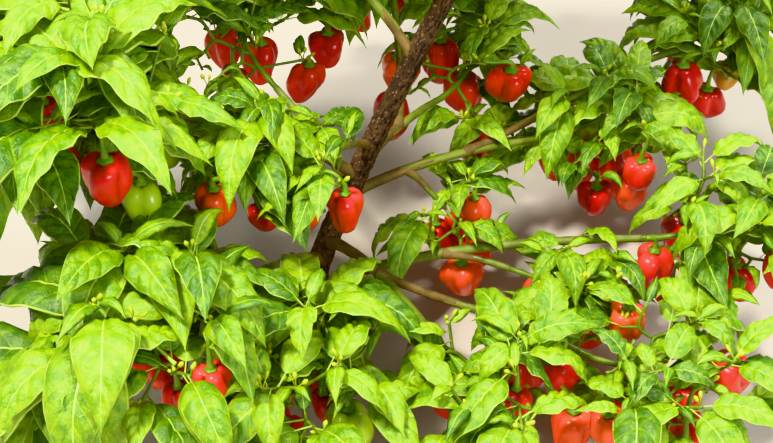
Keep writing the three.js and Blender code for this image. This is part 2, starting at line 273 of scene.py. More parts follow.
def bezier(a, b, c, d):
    return Line(lambda t: a * (1 - t) ** 3 + b * 3 * t * (1 - t) ** 2 + c * 3 * t**2 * (1 - t) + d * t**3)


class Mass:
    """A mass of leaves: its place and size, and the bough that carries it."""

    def __init__(self, row):
        self.name, bearing, reach, height, wide, tall, *bough, self.seed = row
        self.carrier, self.share, self.thick, self.thin = bough
        angle = math.radians(bearing)
        self.centre = np.array([reach * math.cos(angle), reach * math.sin(angle), height])
        self.halves = np.array([wide, wide, tall], float)
        self.line = None


trunk_line = spline(TRUNK_LINE)
MASSES = [Mass(row) for row in MASS_ROWS]
BY_NAME = {mass.name: mass for mass in MASSES}


def lay_out(mass):
    """The line of a mass's bough, after that of the bough that carries it."""
    if mass.line:
        return mass.line
    parent = trunk_line if mass.carrier == "trunk" else lay_out(BY_NAME[mass.carrier])
    root = parent.at(mass.share)
    along = mass.centre - root
    scaled = norm(along / mass.halves)
    end = root + along * max(1 - BOUGH["entry"] / scaled, BOUGH["least"])
    span = norm(end - root)
    leave = unit(unit(end - root) + BOUGH["lift"] * parent.way(mass.share))
    second = end + (root - end) * BOUGH["second"] + UP * span * BOUGH["arch"]
    mass.line = bezier(root, root + leave * span * BOUGH["first"], second, end)
    mass.end = end
    mass.way = unit(end - mass.line.at(0.8))
    return mass.line


for mass in MASSES:
    lay_out(mass)


def walls_of(mass):
    """The flat walls of a mass's space: their outward normals and how far out they lie."""
    others = [other for other in MASSES if other is not mass]
    away = np.array([other.centre - mass.centre for other in others])
    apart = norm(away, axis=1)
    squares = np.array([other.centre @ other.centre - mass.centre @ mass.centre for other in others])
    weights = np.array([mass.halves[0] ** 2 - other.halves[0] ** 2 for other in others])
    return away / apart[:, None], (squares + weights) / (2 * apart) - WALL_GAP


REACH_LOW = np.array(cad_box[0]) / MM - PAST_BOX
REACH_HIGH = np.array(cad_box[1]) / MM + PAST_BOX


def is_inside(mass, points, margin):
    """Whether each point keeps to the mass's space and above the ground."""
    normals, offsets = mass.walls
    limit = 1 if margin > 0 else LOOSE
    rounded = norm((points - mass.centre) / mass.halves, axis=1) <= limit
    above = points[:, 2] >= ABOVE_GROUND + max(margin, 0)
    above &= ((points >= REACH_LOW) & (points <= REACH_HIGH)).all(axis=1)
    walled = (points @ normals.T <= offsets - margin).all(axis=1)
    return rounded & above & walled


for mass in MASSES:
    mass.walls = walls_of(mass)


def limb_radius(mass, share):
    return mass.thick + (mass.thin - mass.thick) * share


def trunk_radius(share, height):
    straight = TRUNK["foot"] + (TRUNK["fork"] - TRUNK["foot"]) * share
    tapered = straight + (TRUNK["tip"] - TRUNK["fork"]) * smooth((share - 0.9) / 0.1)
    return tapered + TRUNK["flare"] * math.exp(-max(height, 0) / TRUNK["flare_height"])


class Taken:
    """Points that are taken, each with the room it needs."""

    def __init__(self):
        self.points, self.rooms = np.zeros((0, 3)), np.zeros(0)

    def add(self, points, room):
        self.points = np.concatenate([self.points, points])
        self.rooms = np.concatenate([self.rooms, np.broadcast_to(room, len(points))])

    def is_clear(self, points, extra):
        apart = norm(points[:, None] - self.points[None], axis=2)
        return bool((apart > self.rooms + extra).all())


FRUIT_TAKEN = Taken()
OPEN_SIGHT = Taken()
LIMBS = Taken()
for share in np.linspace(0.03, 1, 120):
    place = trunk_line.at(share)
    LIMBS.add([place], trunk_radius(share, place[2]))
for mass in MASSES:
    shares = np.linspace(0, 1, 60)
    LIMBS.add(mass.line.places(shares), limb_radius(mass, shares))


def spread_tips(mass, stem_start):
    """Where twigs end: of many seeded places, those furthest from each other."""
    draw = seeded(mass.seed)
    offsets = np.array([draw() * 2 - 1 for _ in range(TIPS["candidates"] * 3)]).reshape(-1, 3)
    share = norm(offsets, axis=1)
    places = offsets * TIPS["reach"] * mass.halves + mass.centre
    fits = (share <= 1) & (share >= TIPS["inner"]) & is_inside(mass, places, TIPS["margin"])
    fits &= norm(places - stem_start, axis=1) >= TIPS["from_stem"]
    places = places[fits]
    chosen = []
    room = norm(places - stem_start, axis=1)
    while len(chosen) < TIPS["most"] and len(places):
        best = int(room.argmax())
        if chosen and room[best] < TIPS["spacing"]:
            break
        fresh = norm(places - places[best], axis=1)
        room = fresh if not chosen else np.minimum(room, fresh)
        chosen.append(places[best])
    return chosen


class Twig:
    """A twig from start to stop, with its radii and the twigs it carries. Its spare end has no leaves."""

    def __init__(self, start, stop, root, end, children):
        self.start, self.stop, self.root, self.end, self.children = start, stop, root, end, children
        self.heading = unit(stop - start)
        self.spare = math.inf

    def is_kept(self):
        """Whether it carries a twig or a leaf."""
        return bool(self.children) or self.spare < math.inf

    def end_point(self):
        """Where the twig ends: at its fork, or a little past its last leaf."""
        return self.stop if self.children else self.stop - self.heading * max(self.spare - 5, 0)


def widest_line(places):
    lines = [b - a for a in places for b in places]
    return max(lines, key=lambda line: float(line @ line))


def grow_twigs(start, tips, radius):
    """Each fork halves its tips along the line between the two furthest apart."""
    if len(tips) == 1:
        return Twig(start, tips[0], radius, TWIG["tip"], [])
    fork = start + (sum(tips) / len(tips) - start) * TWIG["fork"]
    axis = widest_line(tips)
    ordered = sorted(tips, key=lambda p: float(p @ axis))
    half = math.ceil(len(ordered) / 2)
    thinner = max(radius * TWIG["thin"], TWIG["least"])
    children = [grow_twigs(fork, share, thinner) for share in (ordered[:half], ordered[half:])]
    return Twig(start, fork, radius, thinner, children)


def prune(twig):
    """Leaves out each twig that would touch a limb, and all it carries."""
    kept = []
    for child in twig.children:
        points = child.start + (child.stop - child.start) * np.linspace(0.1, 1, 12)[:, None]
        if LIMBS.is_clear(points, child.root + TWIG["gap"]):
            kept.append(child)
            prune(child)
    twig.children = kept


def runs_of(twig, run, runs):
    """The twigs as long runs: each goes on through its forks, where others start."""
    run.append(twig)
    for i, child in enumerate(twig.children):
        if i:
            runs.append([])
        runs_of(child, runs[-1] if i else run, runs)
    return runs


class Pile:
    """Points and faces gathered for one joined mesh, with the number of each face's material."""

    def __init__(self):
        self.points, self.quads, self.tris, self.quad_looks, self.tri_looks = [], [], [], [], []
        self.count = 0

    def add(self, points, quads, quad_looks, tris=None, tri_looks=None):
        self.points.append(points.reshape(-1, 3))
        self.quads.append(quads.reshape(-1, 4) + self.count)
        self.quad_looks.append(np.broadcast_to(quad_looks, len(self.quads[-1])))
        if tris is not None:
            self.tris.append(tris.reshape(-1, 3) + self.count)
            self.tri_looks.append(np.broadcast_to(tri_looks, len(self.tris[-1])))
        self.count += len(self.points[-1])


def piece(name, pile, materials, nodes):
    """One joined mesh in metres, which takes the place of these nodes."""
    points = np.concatenate(pile.points) * MM
    quads = np.concatenate(pile.quads)
    tris = np.concatenate(pile.tris) if pile.tris else np.zeros((0, 3), int)
    looks = np.concatenate(pile.quad_looks + pile.tri_looks)
    corners = np.concatenate([quads.ravel(), tris.ravel()])
    totals = np.concatenate([np.full(len(quads), 4), np.full(len(tris), 3)])
    mesh = bpy.data.meshes.new(name)
    mesh.vertices.add(len(points))
    mesh.vertices.foreach_set("co", points.astype(np.float32).ravel())
    mesh.loops.add(len(corners))
    mesh.loops.foreach_set("vertex_index", corners.astype(np.int32))
    mesh.polygons.add(len(totals))
    mesh.polygons.foreach_set("loop_start", (np.cumsum(totals) - totals).astype(np.int32))
    mesh.polygons.foreach_set("loop_total", totals.astype(np.int32))
    for material in materials:
        mesh.materials.append(material)
    mesh.polygons.foreach_set("material_index", looks.astype(np.int32))
    mesh.update(calc_edges=True)
    mesh.shade_smooth()
    made = bpy.data.objects.new(name, mesh)
    scene.collection.objects.link(made)
    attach(made, "root")
    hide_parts(*nodes)


def frames_along(centres):
    """Two directions across a line at each of its points, without twist."""
    ways = np.gradient(centres, axis=0)
    ways /= norm(ways, axis=1)[:, None]
    across = np.cross(ways[0], UP if abs(ways[0][2]) < 0.9 else np.array([1.0, 0, 0]))
    first = []
    for way in ways:
        across = unit(across - way * (across @ way))
        first.append(across)
    first = np.array(first)
    return first, np.cross(ways, first)


def angles_round(sides):
    return np.arange(sides) * 2 * math.pi / sides


def ways_round(angles, first, second):
    """The directions at these angles across each point of a line."""
    return np.cos(angles)[None, :, None] * first[:, None] + np.sin(angles)[None, :, None] * second[:, None]


def ring_quads(rings, sides):
    i, j = np.meshgrid(np.arange(rings - 1), np.arange(sides), indexing="ij")
    low, high = i * sides, (i + 1) * sides
    k = (j + 1) % sides
    return np.stack([low + j, low + k, high + k, high + j], axis=-1).reshape(-1, 4)


def add_tube(pile, centres, radii, sides, look, relief=None):
    """A closed round limb. relief adds to the radius at each ring and side."""
    reach = np.asarray(radii)[:, None] + (0 if relief is None else relief)
    ring = ways_round(angles_round(sides), *frames_along(centres))
    points = centres[:, None] + ring * np.broadcast_to(reach, (len(centres), sides))[..., None]
    add_rings(pile, points, look)


def add_rings(pile, points, look):
    """A closed skin over rings of points, with a fan at each end."""
    rings, sides = points.shape[:2]
    ends = np.array([points[0].mean(axis=0), points[-1].mean(axis=0)])
    flat = np.concatenate([points.reshape(-1, 3), ends])
    j = np.arange(sides)
    k = (j + 1) % sides
    low = np.stack([k, j, np.full(sides, rings * sides)], axis=-1)
    base = (rings - 1) * sides
    high = np.stack([base + j, base + k, np.full(sides, rings * sides + 1)], axis=-1)
    looks = np.broadcast_to(look, (rings, sides))
    pile.add(flat, ring_quads(rings, sides), looks[:-1].ravel(), np.concatenate([low, high]), looks[0, 0])


# Materials: a base colour with fine mottling, a finish and a small bump.
def linear(srgb):
    def channel(v):
        v = v / 255
        return v / 12.92 if v <= 0.04045 else ((v + 0.055) / 1.055) ** 2.4

    return (*[channel(v) for v in srgb], 1)


def add_node(tree, kind, source, socket, values):
    """A shader node with these values, fed from a source at one socket."""
    made = tree.nodes.new("ShaderNode" + kind)
    for name, value in values.items():
        made.inputs[name].default_value = value
    tree.links.new(source, made.inputs[socket])
    return made


def material(name, dark, light, rough, scale, bump, specular=0.5, coat=0.0, grain_scale=6, depth=0.0006):
    made = bpy.data.materials.new(name)
    made.use_nodes = True
    tree = made.node_tree
    skin = tree.nodes.new("ShaderNodeTexCoord").outputs["Object"]
    patches = add_node(tree, "TexNoise", skin, "Vector", {"Scale": scale, "Detail": 3})
    colour = add_node(tree, "ValToRGB", patches.outputs["Fac"], "Fac", {})
    for element, place, shade in zip(colour.color_ramp.elements, (0.38, 0.62), (dark, light)):
        element.position = place
        element.color = linear(shade)
    fine = {"Scale": scale * grain_scale, "Detail": 4, "Roughness": 0.6}
    grain = add_node(tree, "TexNoise", skin, "Vector", fine).outputs["Fac"]
    finish = add_node(tree, "MapRange", grain, "Value", {"To Min": rough - 0.06, "To Max": rough + 0.06})
    relief = add_node(tree, "Bump", grain, "Height", {"Strength": bump, "Distance": depth})
    shader = tree.nodes["Principled BSDF"].inputs
    tree.links.new(colour.outputs["Color"], shader["Base Color"])
    tree.links.new(finish.outputs["Result"], shader["Roughness"])
    tree.links.new(relief.outputs["Normal"], shader["Normal"])
    shader["Specular IOR Level"].default_value = specular
    shader["Coat Weight"].default_value = coat
    shader["Coat Roughness"].default_value = 0.1
    return made


BLADE_SKIN = {"scale": 90, "bump": 1.0, "specular": 0.65, "grain_scale": 3, "depth": 0.002}
# Blade greens, dealt at random: partly the leaves' own tones, which differ from leaf to leaf, and partly
# painted light: the bright green stands in for sunlit leaves and the deep green for leaves in shade.
LEAF_LOOKS = [
    material("leaf_bright", (112, 156, 4), (150, 184, 20), 0.31, **BLADE_SKIN),
    material("leaf_mid", (90, 138, 4), (130, 166, 16), 0.31, **BLADE_SKIN),
    material("leaf_deep", (58, 104, 4), (96, 136, 14), 0.3, **BLADE_SKIN),
    material("leaf_vein", (176, 202, 76), (192, 214, 98), 0.5, 60, 0.1),
    material("leaf_under", (122, 158, 56), (144, 176, 76), 0.6, 46, 0.15),
]
BRIGHT, MID, DEEP, VEIN, UNDER = range(5)

# The look of the side veins on a bright, a mid and a deep green blade.
SIDE_VEIN = np.array([BRIGHT, BRIGHT, MID])

BARK, RIDGE, FURROW = range(3)
BARK_LOOKS = [
    material("bark", (58, 41, 27), (90, 66, 44), 0.85, 70, 0.8),
    material("bark_ridge", (98, 74, 50), (126, 98, 68), 0.85, 90, 0.7),
    material("bark_furrow", (30, 21, 14), (48, 33, 22), 0.9, 80, 0.7),
]
YOUNG_STEM, OLD_STEM, MID_STEM = range(3)
STEM_LOOKS = [
    material("stem_green", (88, 116, 24), (120, 144, 40), 0.45, 60, 0.25),
    material("stem_brown", (92, 76, 36), (120, 98, 52), 0.7, 70, 0.5),
    material("stem_node", (98, 116, 34), (126, 136, 56), 0.55, 80, 0.4),
]
RED, DEEP_RED, ORANGE, YELLOW, GREEN = range(5)
FRUIT_SKIN = {"rough": 0.3, "scale": 24, "bump": 0.12, "coat": 0.18}
FRUIT_LOOKS = [
    material("fruit_red", (216, 22, 4), (240, 56, 12), **FRUIT_SKIN),
    material("fruit_deep_red", (192, 10, 5), (220, 30, 9), **FRUIT_SKIN),
    material("fruit_orange", (230, 64, 6), (242, 90, 16), **FRUIT_SKIN),
    material("fruit_yellow", (226, 160, 20), (238, 180, 36), **FRUIT_SKIN),
    material("fruit_green", (150, 186, 30), (176, 206, 44), **FRUIT_SKIN),
]

# The tones up to which a fruit is red, deep red, orange and yellow. Above them it is green.
FRUIT_TONES = (0.52, 0.76, 0.9, 0.94)

# Fruit in sight: the places, the looks it may have, the room of its line of sight, and its size.
REDS = (RED, DEEP_RED, ORANGE)
IN_SIGHT = [
    (SEEN_WHOLE, REDS, 27, 1.12),
    (SEEN_FRUIT, REDS, 12, 1),
    (SEEN_GREEN, [GREEN], 12, 1),
    (SEEN_YELLOW, [YELLOW], 16, 1),
]
STALK, CALYX, BUD = range(3)
STALK_LOOKS = [
    material("stalk_green", (104, 146, 30), (132, 168, 46), 0.45, 60, 0.25),
    material("calyx_green", (88, 134, 28), (116, 154, 42), 0.5, 60, 0.3),
    material("bud", (168, 186, 30), (196, 206, 60), 0.55, 60, 0.2),
]


# Leaves: a veined blade in its own outline, puckered between the side veins, with a paler underside.
VEIN_HALF = 0.0055
FIRST_VEIN, VEIN_SPAN = 0.05, 0.85

# Between two side veins: where the two lines over the pucker lie, and how far they swell.
PUCKER_LINES = (0.28, 0.72)
PUCKER_SWELL = (1.0, 0.75)


def vein_rows(veins):
    """Shares of the blade's length: a side vein's edges, and the lines over the pucker after it."""
    starts = [FIRST_VEIN + VEIN_SPAN / veins * i for i in range(veins)] + [1.0]
    rows, swell, vein = [0.0, 0.012, 0.026], [0.0] * 3, [False] * 3
    for here, there in zip(starts, starts[1:]):
        rows += [here - VEIN_HALF, here + VEIN_HALF]
        rows += [here + share * (there - here) for share in PUCKER_LINES]
        swell += [0.0, 0.0, *PUCKER_SWELL]
        vein += [True, False, False, False]
    return np.array(rows + [1.0]), np.array(swell + [0.0]), np.array(vein)


def blade_width(t):
    """The width along the blade, as a share of its greatest: round at the base, drawn out to the tip."""
    shape = np.clip(t, 0, 1) ** 0.62 * np.clip(1 - t, 0, 1) ** 1.28
    return shape / 0.4145


class BladeGrid:
    """The rows, columns and faces that all leaves of one kind share."""

    def __init__(self, rows, swell, vein, columns):
        self.rows, self.swell, self.columns = rows, swell, columns
        tall, wide = len(rows), len(columns)
        i, j = np.meshgrid(np.arange(tall - 1), np.arange(wide - 1), indexing="ij")
        corner = i * wide + j
        top = np.stack([corner, corner + 1, corner + 1 + wide, corner + wide], axis=-1).reshape(-1, 4)
        row = np.arange(tall)
        under = np.stack([row * wide, tall * wide + row, row * wide + wide - 1], axis=1)
        sides = [under[:-1, 1:], under[:-1, :-1], under[1:, :-1], under[1:, 1:]]
        bottom = np.stack(sides, axis=-1).reshape(-1, 4)
        self.quads = np.concatenate([top, bottom])
        self.bottoms = len(bottom)
        middles = np.abs((columns[1:] + columns[:-1]) / 2)
        self.is_vein = np.repeat(vein, wide - 1)
        self.is_rib = np.tile((middles < 0.05) | (middles > 0.96), tall - 1)


def blade_t(rows, u):
    """How far along the blade a row lies at a column: rows sweep forward to the margin."""
    return rows[:, None] + 0.8 * (rows * (1 - rows))[:, None] * np.abs(u)[None, :]


# The columns from margin to margin, with two at each margin and at the midrib.
LARGE = BladeGrid(*vein_rows(6), np.array([-1, -0.955, -0.6, -0.3, -0.03, 0.03, 0.3, 0.6, 0.955, 1]))
SMALL = BladeGrid(*vein_rows(3), np.array([-1, -0.5, -0.045, 0.045, 0.5, 1]))
MIDRIB = np.array([0.0])
MIDRIB_STEPS = 33


def midribs(plans, steps):
    """Each leaf's midrib from root to tip, with the directions to its side and off its face."""
    s = np.linspace(0, 1, steps)
    turn = plans["bearing"][:, None] + plans["curl"][:, None] * smooth(s)[None] ** 2
    bent = smooth((s - 0.08) / 0.92)[None]
    rise = plans["pitch"][:, None] - plans["droop"][:, None] * bent
    heading = np.stack([np.cos(turn) * np.cos(rise), np.sin(turn) * np.cos(rise), np.sin(rise)], axis=-1)
    flat = np.stack([-np.sin(turn), np.cos(turn), np.zeros_like(turn)], axis=-1)
    face = np.cross(heading, flat)
    roll = plans["roll"][:, None] * (0.3 + 0.7 * s[None])
    side = flat * np.cos(roll)[..., None] + face * np.sin(roll)[..., None]
    face = np.cross(heading, side)
    gaps = (heading[:, 1:] + heading[:, :-1]) / 2 * (plans["length"] / (steps - 1))[:, None, None]
    line = np.concatenate([np.zeros((len(gaps), 1, 3)), np.cumsum(gaps, axis=1)], axis=1)
    return line + plans["root"][:, None], side, face


def sample_along(values, t):
    """The values at the shares t, from those at even steps."""
    x = np.clip(t, 0, 1) * (values.shape[1] - 1)
    low = np.minimum(x.astype(int), values.shape[1] - 2)
    part = (x - low)[None, ..., None]
    return values[:, low] * (1 - part) + values[:, low + 1] * part


def fold_height(u, wide):
    """The blade's section: it rises from the midrib and rolls down to the margin."""
    return wide * (0.62 * np.abs(u) - 0.72 * u * u)


def half_widths(plans, t):
    """Half the width of each blade at the shares t of its length."""
    wide = (plans["length"] * LEAF["wide"] / 2 * plans["breadth"])[:, None, None]
    return np.maximum(wide * blade_width(t)[None], 0.35)


def over_midribs(ribs, t, aside, height):
    """Points at the shares t of the blades, aside of and above their midribs."""
    line, side, face = ribs
    share = PETIOLE + (1 - PETIOLE) * t
    points = sample_along(line, share) + sample_along(side, share) * aside[..., None]
    return points + sample_along(face, share) * height[..., None]


def top_points(plans, ribs, grid):
    """The upper skin: folded, puckered between the side veins, wavy at the margin."""
    t = blade_t(grid.rows, grid.columns)
    u = grid.columns[None, None]
    edge = np.abs(grid.columns)
    half = half_widths(plans, t)
    full = np.minimum(half / 18, 1)
    swell = grid.swell[:, None] * np.clip(edge, 0, 1) ** 0.5 * (1 - edge) ** 0.7
    pucker = plans["pucker"][:, None, None] * swell[None] * full
    waves = np.sin(plans["phase"][:, None, None] + t[None] * plans["waves"][:, None, None] + u * 2)
    wave = plans["ruffle"][:, None, None] * waves * np.abs(u) ** 3 * full
    height = fold_height(u, half) * plans["cup"][:, None, None] + pucker + wave
    return over_midribs(ribs, t, u * half, height)


def keel_points(plans, ribs, grid):
    """The line below the midrib, where the underside's halves meet."""
    t = blade_t(grid.rows, MIDRIB)
    sunk = 1.3 * np.minimum(half_widths(plans, t) / 6, 1) + 0.1
    return over_midribs(ribs, t, np.zeros_like(sunk), -sunk)


def add_blades(pile, plans, grid):
    ribs = midribs(plans, MIDRIB_STEPS)
    count = len(plans["length"])
    top = top_points(plans, ribs, grid).reshape(count, -1, 3)
    keel = keel_points(plans, ribs, grid).reshape(count, -1, 3)
    points = np.concatenate([top, keel], axis=1)
    quads = grid.quads[None] + (np.arange(count) * points.shape[1])[:, None, None]
    blade = plans["look"][:, None]
    looks = np.where(grid.is_vein[None], SIDE_VEIN[blade], blade)
    looks = np.where(grid.is_rib[None], VEIN, looks)
    looks = np.concatenate([looks, np.full((count, grid.bottoms), UNDER)], axis=1)
    pile.add(points, quads, looks.ravel())
    add_petioles(pile, ribs, plans)


def add_petioles(pile, ribs, plans):
    """The leaf stalks: four-sided, thickest at the twig."""
    line, side, face = ribs
    shares = np.array([-0.012, 0.05, 0.11, PETIOLE + 0.03])
    thick = np.array([1.5, 1.15, 1.0, 0.7])
    centre = sample_along(line, shares)
    centre[:, 0] -= (line[:, 1] - line[:, 0]) * 0.4
    reach = plans["length"][:, None] / 130 * thick[None]
    across, over = sample_along(side, shares), sample_along(face, shares)
    corners = []
    for a, b in ((1, 0), (0, 1), (-1, 0), (0, -1)):
        corners.append(centre + (across * a + over * b) * reach[..., None])
    points = np.stack(corners, axis=2)
    quads = ring_quads(4, 4)[None] + (np.arange(len(points)) * 16)[:, None, None]
    pile.add(points.reshape(-1, 3), quads, VEIN)


# Plans of leaves, fruit and twigs, worked out one after another so that they keep apart.
# A blade's green at random: the bright one is partly painted sunlight, and the deep one partly painted
# shade.
def leaf_look(draw):
    if draw() < 0.38:
        return BRIGHT
    return MID if draw() < 0.66 else DEEP


def leaf_plan(twig, back, k, phase, draw):
    return {
        "root": twig.stop - twig.heading * back,
        "back": back,
        "bearing": phase + k * TURN + math.radians((draw() - 0.5) * 36),
        "length": LEAF["length"] * (1 - LEAF["younger"] * k) * (0.84 + 0.32 * draw()),
        "pitch": math.radians(LEAF["pitch"] + LEAF["pitch_step"] * k + (draw() - 0.5) * 22),
        "droop": math.radians(LEAF["droop"] * (0.8 + 0.8 * draw())),
        "curl": math.radians((draw() - 0.5) * 56),
        "roll": math.radians((draw() - 0.5) * 60),
        "breadth": 0.9 + 0.25 * draw(),
        "pucker": 7 + 5.5 * draw(),
        "phase": draw() * PHASE,
        "waves": 14 + 12 * draw(),
        "ruffle": 1.4 + 2.8 * draw(),
        "cup": 0.2 + 1.2 * draw(),
        "look": leaf_look(draw),
    }


def gathered(plans):
    """The plans as one array a measure."""
    return {key: np.array([plan[key] for plan in plans]) for key in plans[0]}


# Where a leaf is tried: the share of its length, and how far out to the margin.
SAMPLES = np.array([
    [0.25, 0], [0.45, 0], [0.65, 0], [0.82, 0], [1, 0], [0.42, 0.8], [0.42, -0.8], [0.68, 0.75],
    [0.68, -0.75],
])
SAMPLE_STEPS = 9
SWINGS = [0, 32, -32, 62, -62]
SHRINKS = [1, 0.84, 0.7, 0.58]


def leaf_samples(plan):
    line, side, _ = midribs(gathered([plan]), SAMPLE_STEPS)
    t = SAMPLES[:, 0]
    half = plan["length"] * LEAF["wide"] / 2 * blade_width((t - PETIOLE) / (1 - PETIOLE))
    return sample_along(line, t)[0] + sample_along(side, t)[0] * (SAMPLES[:, 1] * half)[:, None]


def fit_leaf(mass, plan, extra):
    """Turns or shortens a leaf until it fits, or gives None."""
    for shrink in SHRINKS:
        for swing in SWINGS:
            bearing = plan["bearing"] + math.radians(swing)
            tried = dict(plan, bearing=bearing, length=plan["length"] * shrink)
            samples = leaf_samples(tried)
            if not is_inside(mass, samples, MARGIN["leaf"]).all():
                continue
            if LIMBS.is_clear(samples, ROOM["limb"]) and mass.taken.is_clear(samples, extra):
                mass.taken.add(samples, ROOM["leaf"])
                return tried
    return None


def fruit_plan(root, draw):
    bearing = draw() * 2 * math.pi
    stalk = FRUIT["stalk"] * (0.8 + 0.4 * draw())
    size = 0.84 + 0.3 * draw()
    out = np.array([math.cos(bearing), math.sin(bearing), 0])
    return {
        "root": root,
        "top": root + out * FRUIT["out"] - UP * stalk,
        "out": out,
        "long": FRUIT["long"] * size * (0.9 + 0.35 * draw()),
        "wide": FRUIT["wide"] * size * (0.88 + 0.2 * draw()),
        "turn": draw() * PHASE,
        "lobes": 3 if draw() < 0.6 else 4,
        "crease": 0.3 + 0.2 * draw(),
        "belly": 0.72 + 0.4 * draw(),
        "lean": (draw() - 0.5) * 0.7,
        "look": fruit_look(draw()),
    }


def fruit_look(tone):
    for look, highest in enumerate(FRUIT_TONES):
        if tone < highest:
            return look
    return GREEN


def fruit_samples(plan):
    shares = np.array([0.15, 0.5, 0.85])[:, None]
    return plan["top"] - UP * plan["long"] * shares


def fruit_fits(mass, plan, margin):
    samples = fruit_samples(plan)
    ends = np.concatenate([samples, [plan["top"] - UP * plan["long"]]])
    core = plan["wide"] * FRUIT["core"]
    if not is_inside(mass, ends, margin).all() or not LIMBS.is_clear(samples, plan["wide"] + FRUIT["gap"]):
        return False
    return mass.stems.is_clear(samples, core) and FRUIT_TAKEN.is_clear(samples, core)


def hang(mass, plan):
    mass.fruits.append(plan)
    FRUIT_TAKEN.add(fruit_samples(plan), plan["wide"] * FRUIT["core"])
    mass.taken.add(fruit_samples(plan), plan["wide"] + ROOM["fruit"])


def sight(place):
    """The direction from the camera through a place in its picture."""
    focal = PICTURE[0] * FOCAL / SENSOR
    right = (place[0] - PICTURE[0] / 2) / focal
    high = (PICTURE[1] / 2 - place[1]) / focal
    return unit(FORWARD + np.array([right, 0, 0]) + high * np.array([0, math.sin(TILT), math.cos(TILT)]))


def keep_open(start, way, kind, room):
    """Keeps leaves out of a line of sight."""
    step, count = SIGHT_POINTS[kind]
    OPEN_SIGHT.add(start + way * (np.arange(1, count + 1)[:, None] * step), room)


def nodes_near(way):
    """The nodes that a fruit in this line of sight could hang from, the best first."""
    found = []
    for mass in MASSES:
        for twig in mass.twigs:
            for share in NODE["shares"]:
                root = twig.start + (twig.stop - twig.start) * share
                low = root - UP * NODE["drop"]
                depth = (low - EYE) @ way
                aside = norm(EYE + way * depth - low)
                if aside < NODE["aside"]:
                    found.append((depth + NODE["weight"] * aside, depth, mass, root))
    return sorted(found, key=lambda row: row[0])


def hang_in_sight(place, looks, room, size, draw):
    """Hangs a fruit from the best node, if any, that can bring it to that place in the picture."""
    plan = fruit_plan(np.zeros(3), draw)
    if plan["look"] not in looks:
        plan["look"] = looks[0]
    plan["long"] *= size
    plan["wide"] *= size
    way = sight(place)
    for _, depth, mass, root in nodes_near(way):
        middle = EYE + way * depth
        aside = (middle - root) * [1, 1, 0]
        tried = dict(plan, root=root, top=middle + UP * plan["long"] / 2)
        if norm(aside) > 1:
            tried["out"] = unit(aside)
        is_low = root[2] > tried["top"][2] + NODE["above"]
        if is_low and fruit_fits(mass, tried, MARGIN["seen"]):
            hang(mass, tried)
            keep_open(middle, -way, "fruit", room)
            return


def grow_stems(mass):
    """The twigs of a mass, as long runs and one by one. The first starts inside the bough's tip."""
    node = mass.end + mass.way * TWIG["stem"]
    radius = mass.thin * TWIG["first"]
    tips = spread_tips(mass, node)
    stem = Twig(mass.end - mass.way * 2, node, radius * 1.02, radius, [grow_twigs(node, tips, radius)])
    prune(stem)
    first = []
    mass.runs = runs_of(stem, first, [first])
    mass.twigs = [twig for run in mass.runs for twig in run if twig is not stem]
    mass.stems, mass.taken, mass.fruits = Taken(), Taken(), []
    for twig in mass.twigs:
        points = twig.start + (twig.stop - twig.start) * np.linspace(0.15, 0.85, 6)[:, None]
        mass.stems.add(points, ROOM["stem"])
        mass.taken.add(points, ROOM["twig"])


def grow_fruit(mass):
    for i, twig in enumerate(mass.twigs):
        draw = seeded(mass.seed * 100 + SEED["fruit"] + i)
        for _ in range(FRUIT["most"]):
            if twig.children and draw() < FRUIT["odds"]:
                plan = fruit_plan(twig.stop, draw)
                if fruit_fits(mass, plan, MARGIN["fruit"]):
                    hang(mass, plan)


def grow_leaves(mass, scale):
    """The plans of a mass's leaves: the oldest on every twig first, the young ones last."""
    mass.large, mass.small = [], []
    near = (np.abs(OPEN_SIGHT.points - mass.centre) < mass.halves + SIGHT_REACH).all(axis=1)
    mass.taken.add(OPEN_SIGHT.points[near], OPEN_SIGHT.rooms[near])
    draws = [seeded(mass.seed * 100 + SEED["leaf"] + i) for i in range(len(mass.twigs))]
    phases = [draw() * 2 * math.pi for draw in draws]
    for k in range(LEAF["count"] + len(YOUNG_ROWS)):
        is_young = k >= LEAF["count"]
        for twig, draw, phase in zip(mass.twigs, draws, phases):
            plan = (young_leaf if is_young else full_leaf)(twig, k, phase, draw, scale)
            fitted = plan and fit_leaf(mass, plan, YOUNG["room"] if is_young else 0)
            if fitted:
                twig.spare = min(twig.spare, plan["back"])
                (mass.small if is_young else mass.large).append(fitted)


def full_leaf(twig, k, phase, draw, scale):
    """The plan of a twig's leaf number k, or None: a fork carries only one."""
    if k and twig.children:
        return None
    back = 0 if twig.children else LEAF["back"] - k * LEAF["step"]
    plan = leaf_plan(twig, back, k, phase, draw)
    plan["length"] *= scale
    return plan


def young_leaf(twig, k, phase, draw, scale):
    """The plan of a twig's young leaf, or None, by its odds."""
    row = YOUNG_ROWS[k - LEAF["count"]]
    if draw() > row["fork" if twig.children else "tip"]:
        return None
    plan = leaf_plan(twig, 0 if twig.children else row["back"], k, phase, draw)
    plan["length"] *= scale * row["long"]
    plan["breadth"] *= YOUNG["breadth"]
    plan["pucker"] *= YOUNG["pucker"]
    return plan


def keep_sight_open():
    """Keeps leaves from hiding the stem and the gaps that the picture shows."""
    for share in np.linspace(0.3, 1, 24):
        place = trunk_line.at(share)
        keep_open(place, unit(EYE - place), "trunk", ROOM["trunk"])
    for place in SEEN_GAPS:
        way = sight(place)
        ground = EYE - way * (EYE[2] / way[2])
        keep_open(ground, -way, "gap", ROOM["gap"])


# A run of twigs: its sides, its rings to a twig, a side run's first radius, its nodes' swelling and length.
RUN = {"sides": 6, "rings": 5, "start": 0.8, "swell": 0.22, "node": 0.12}


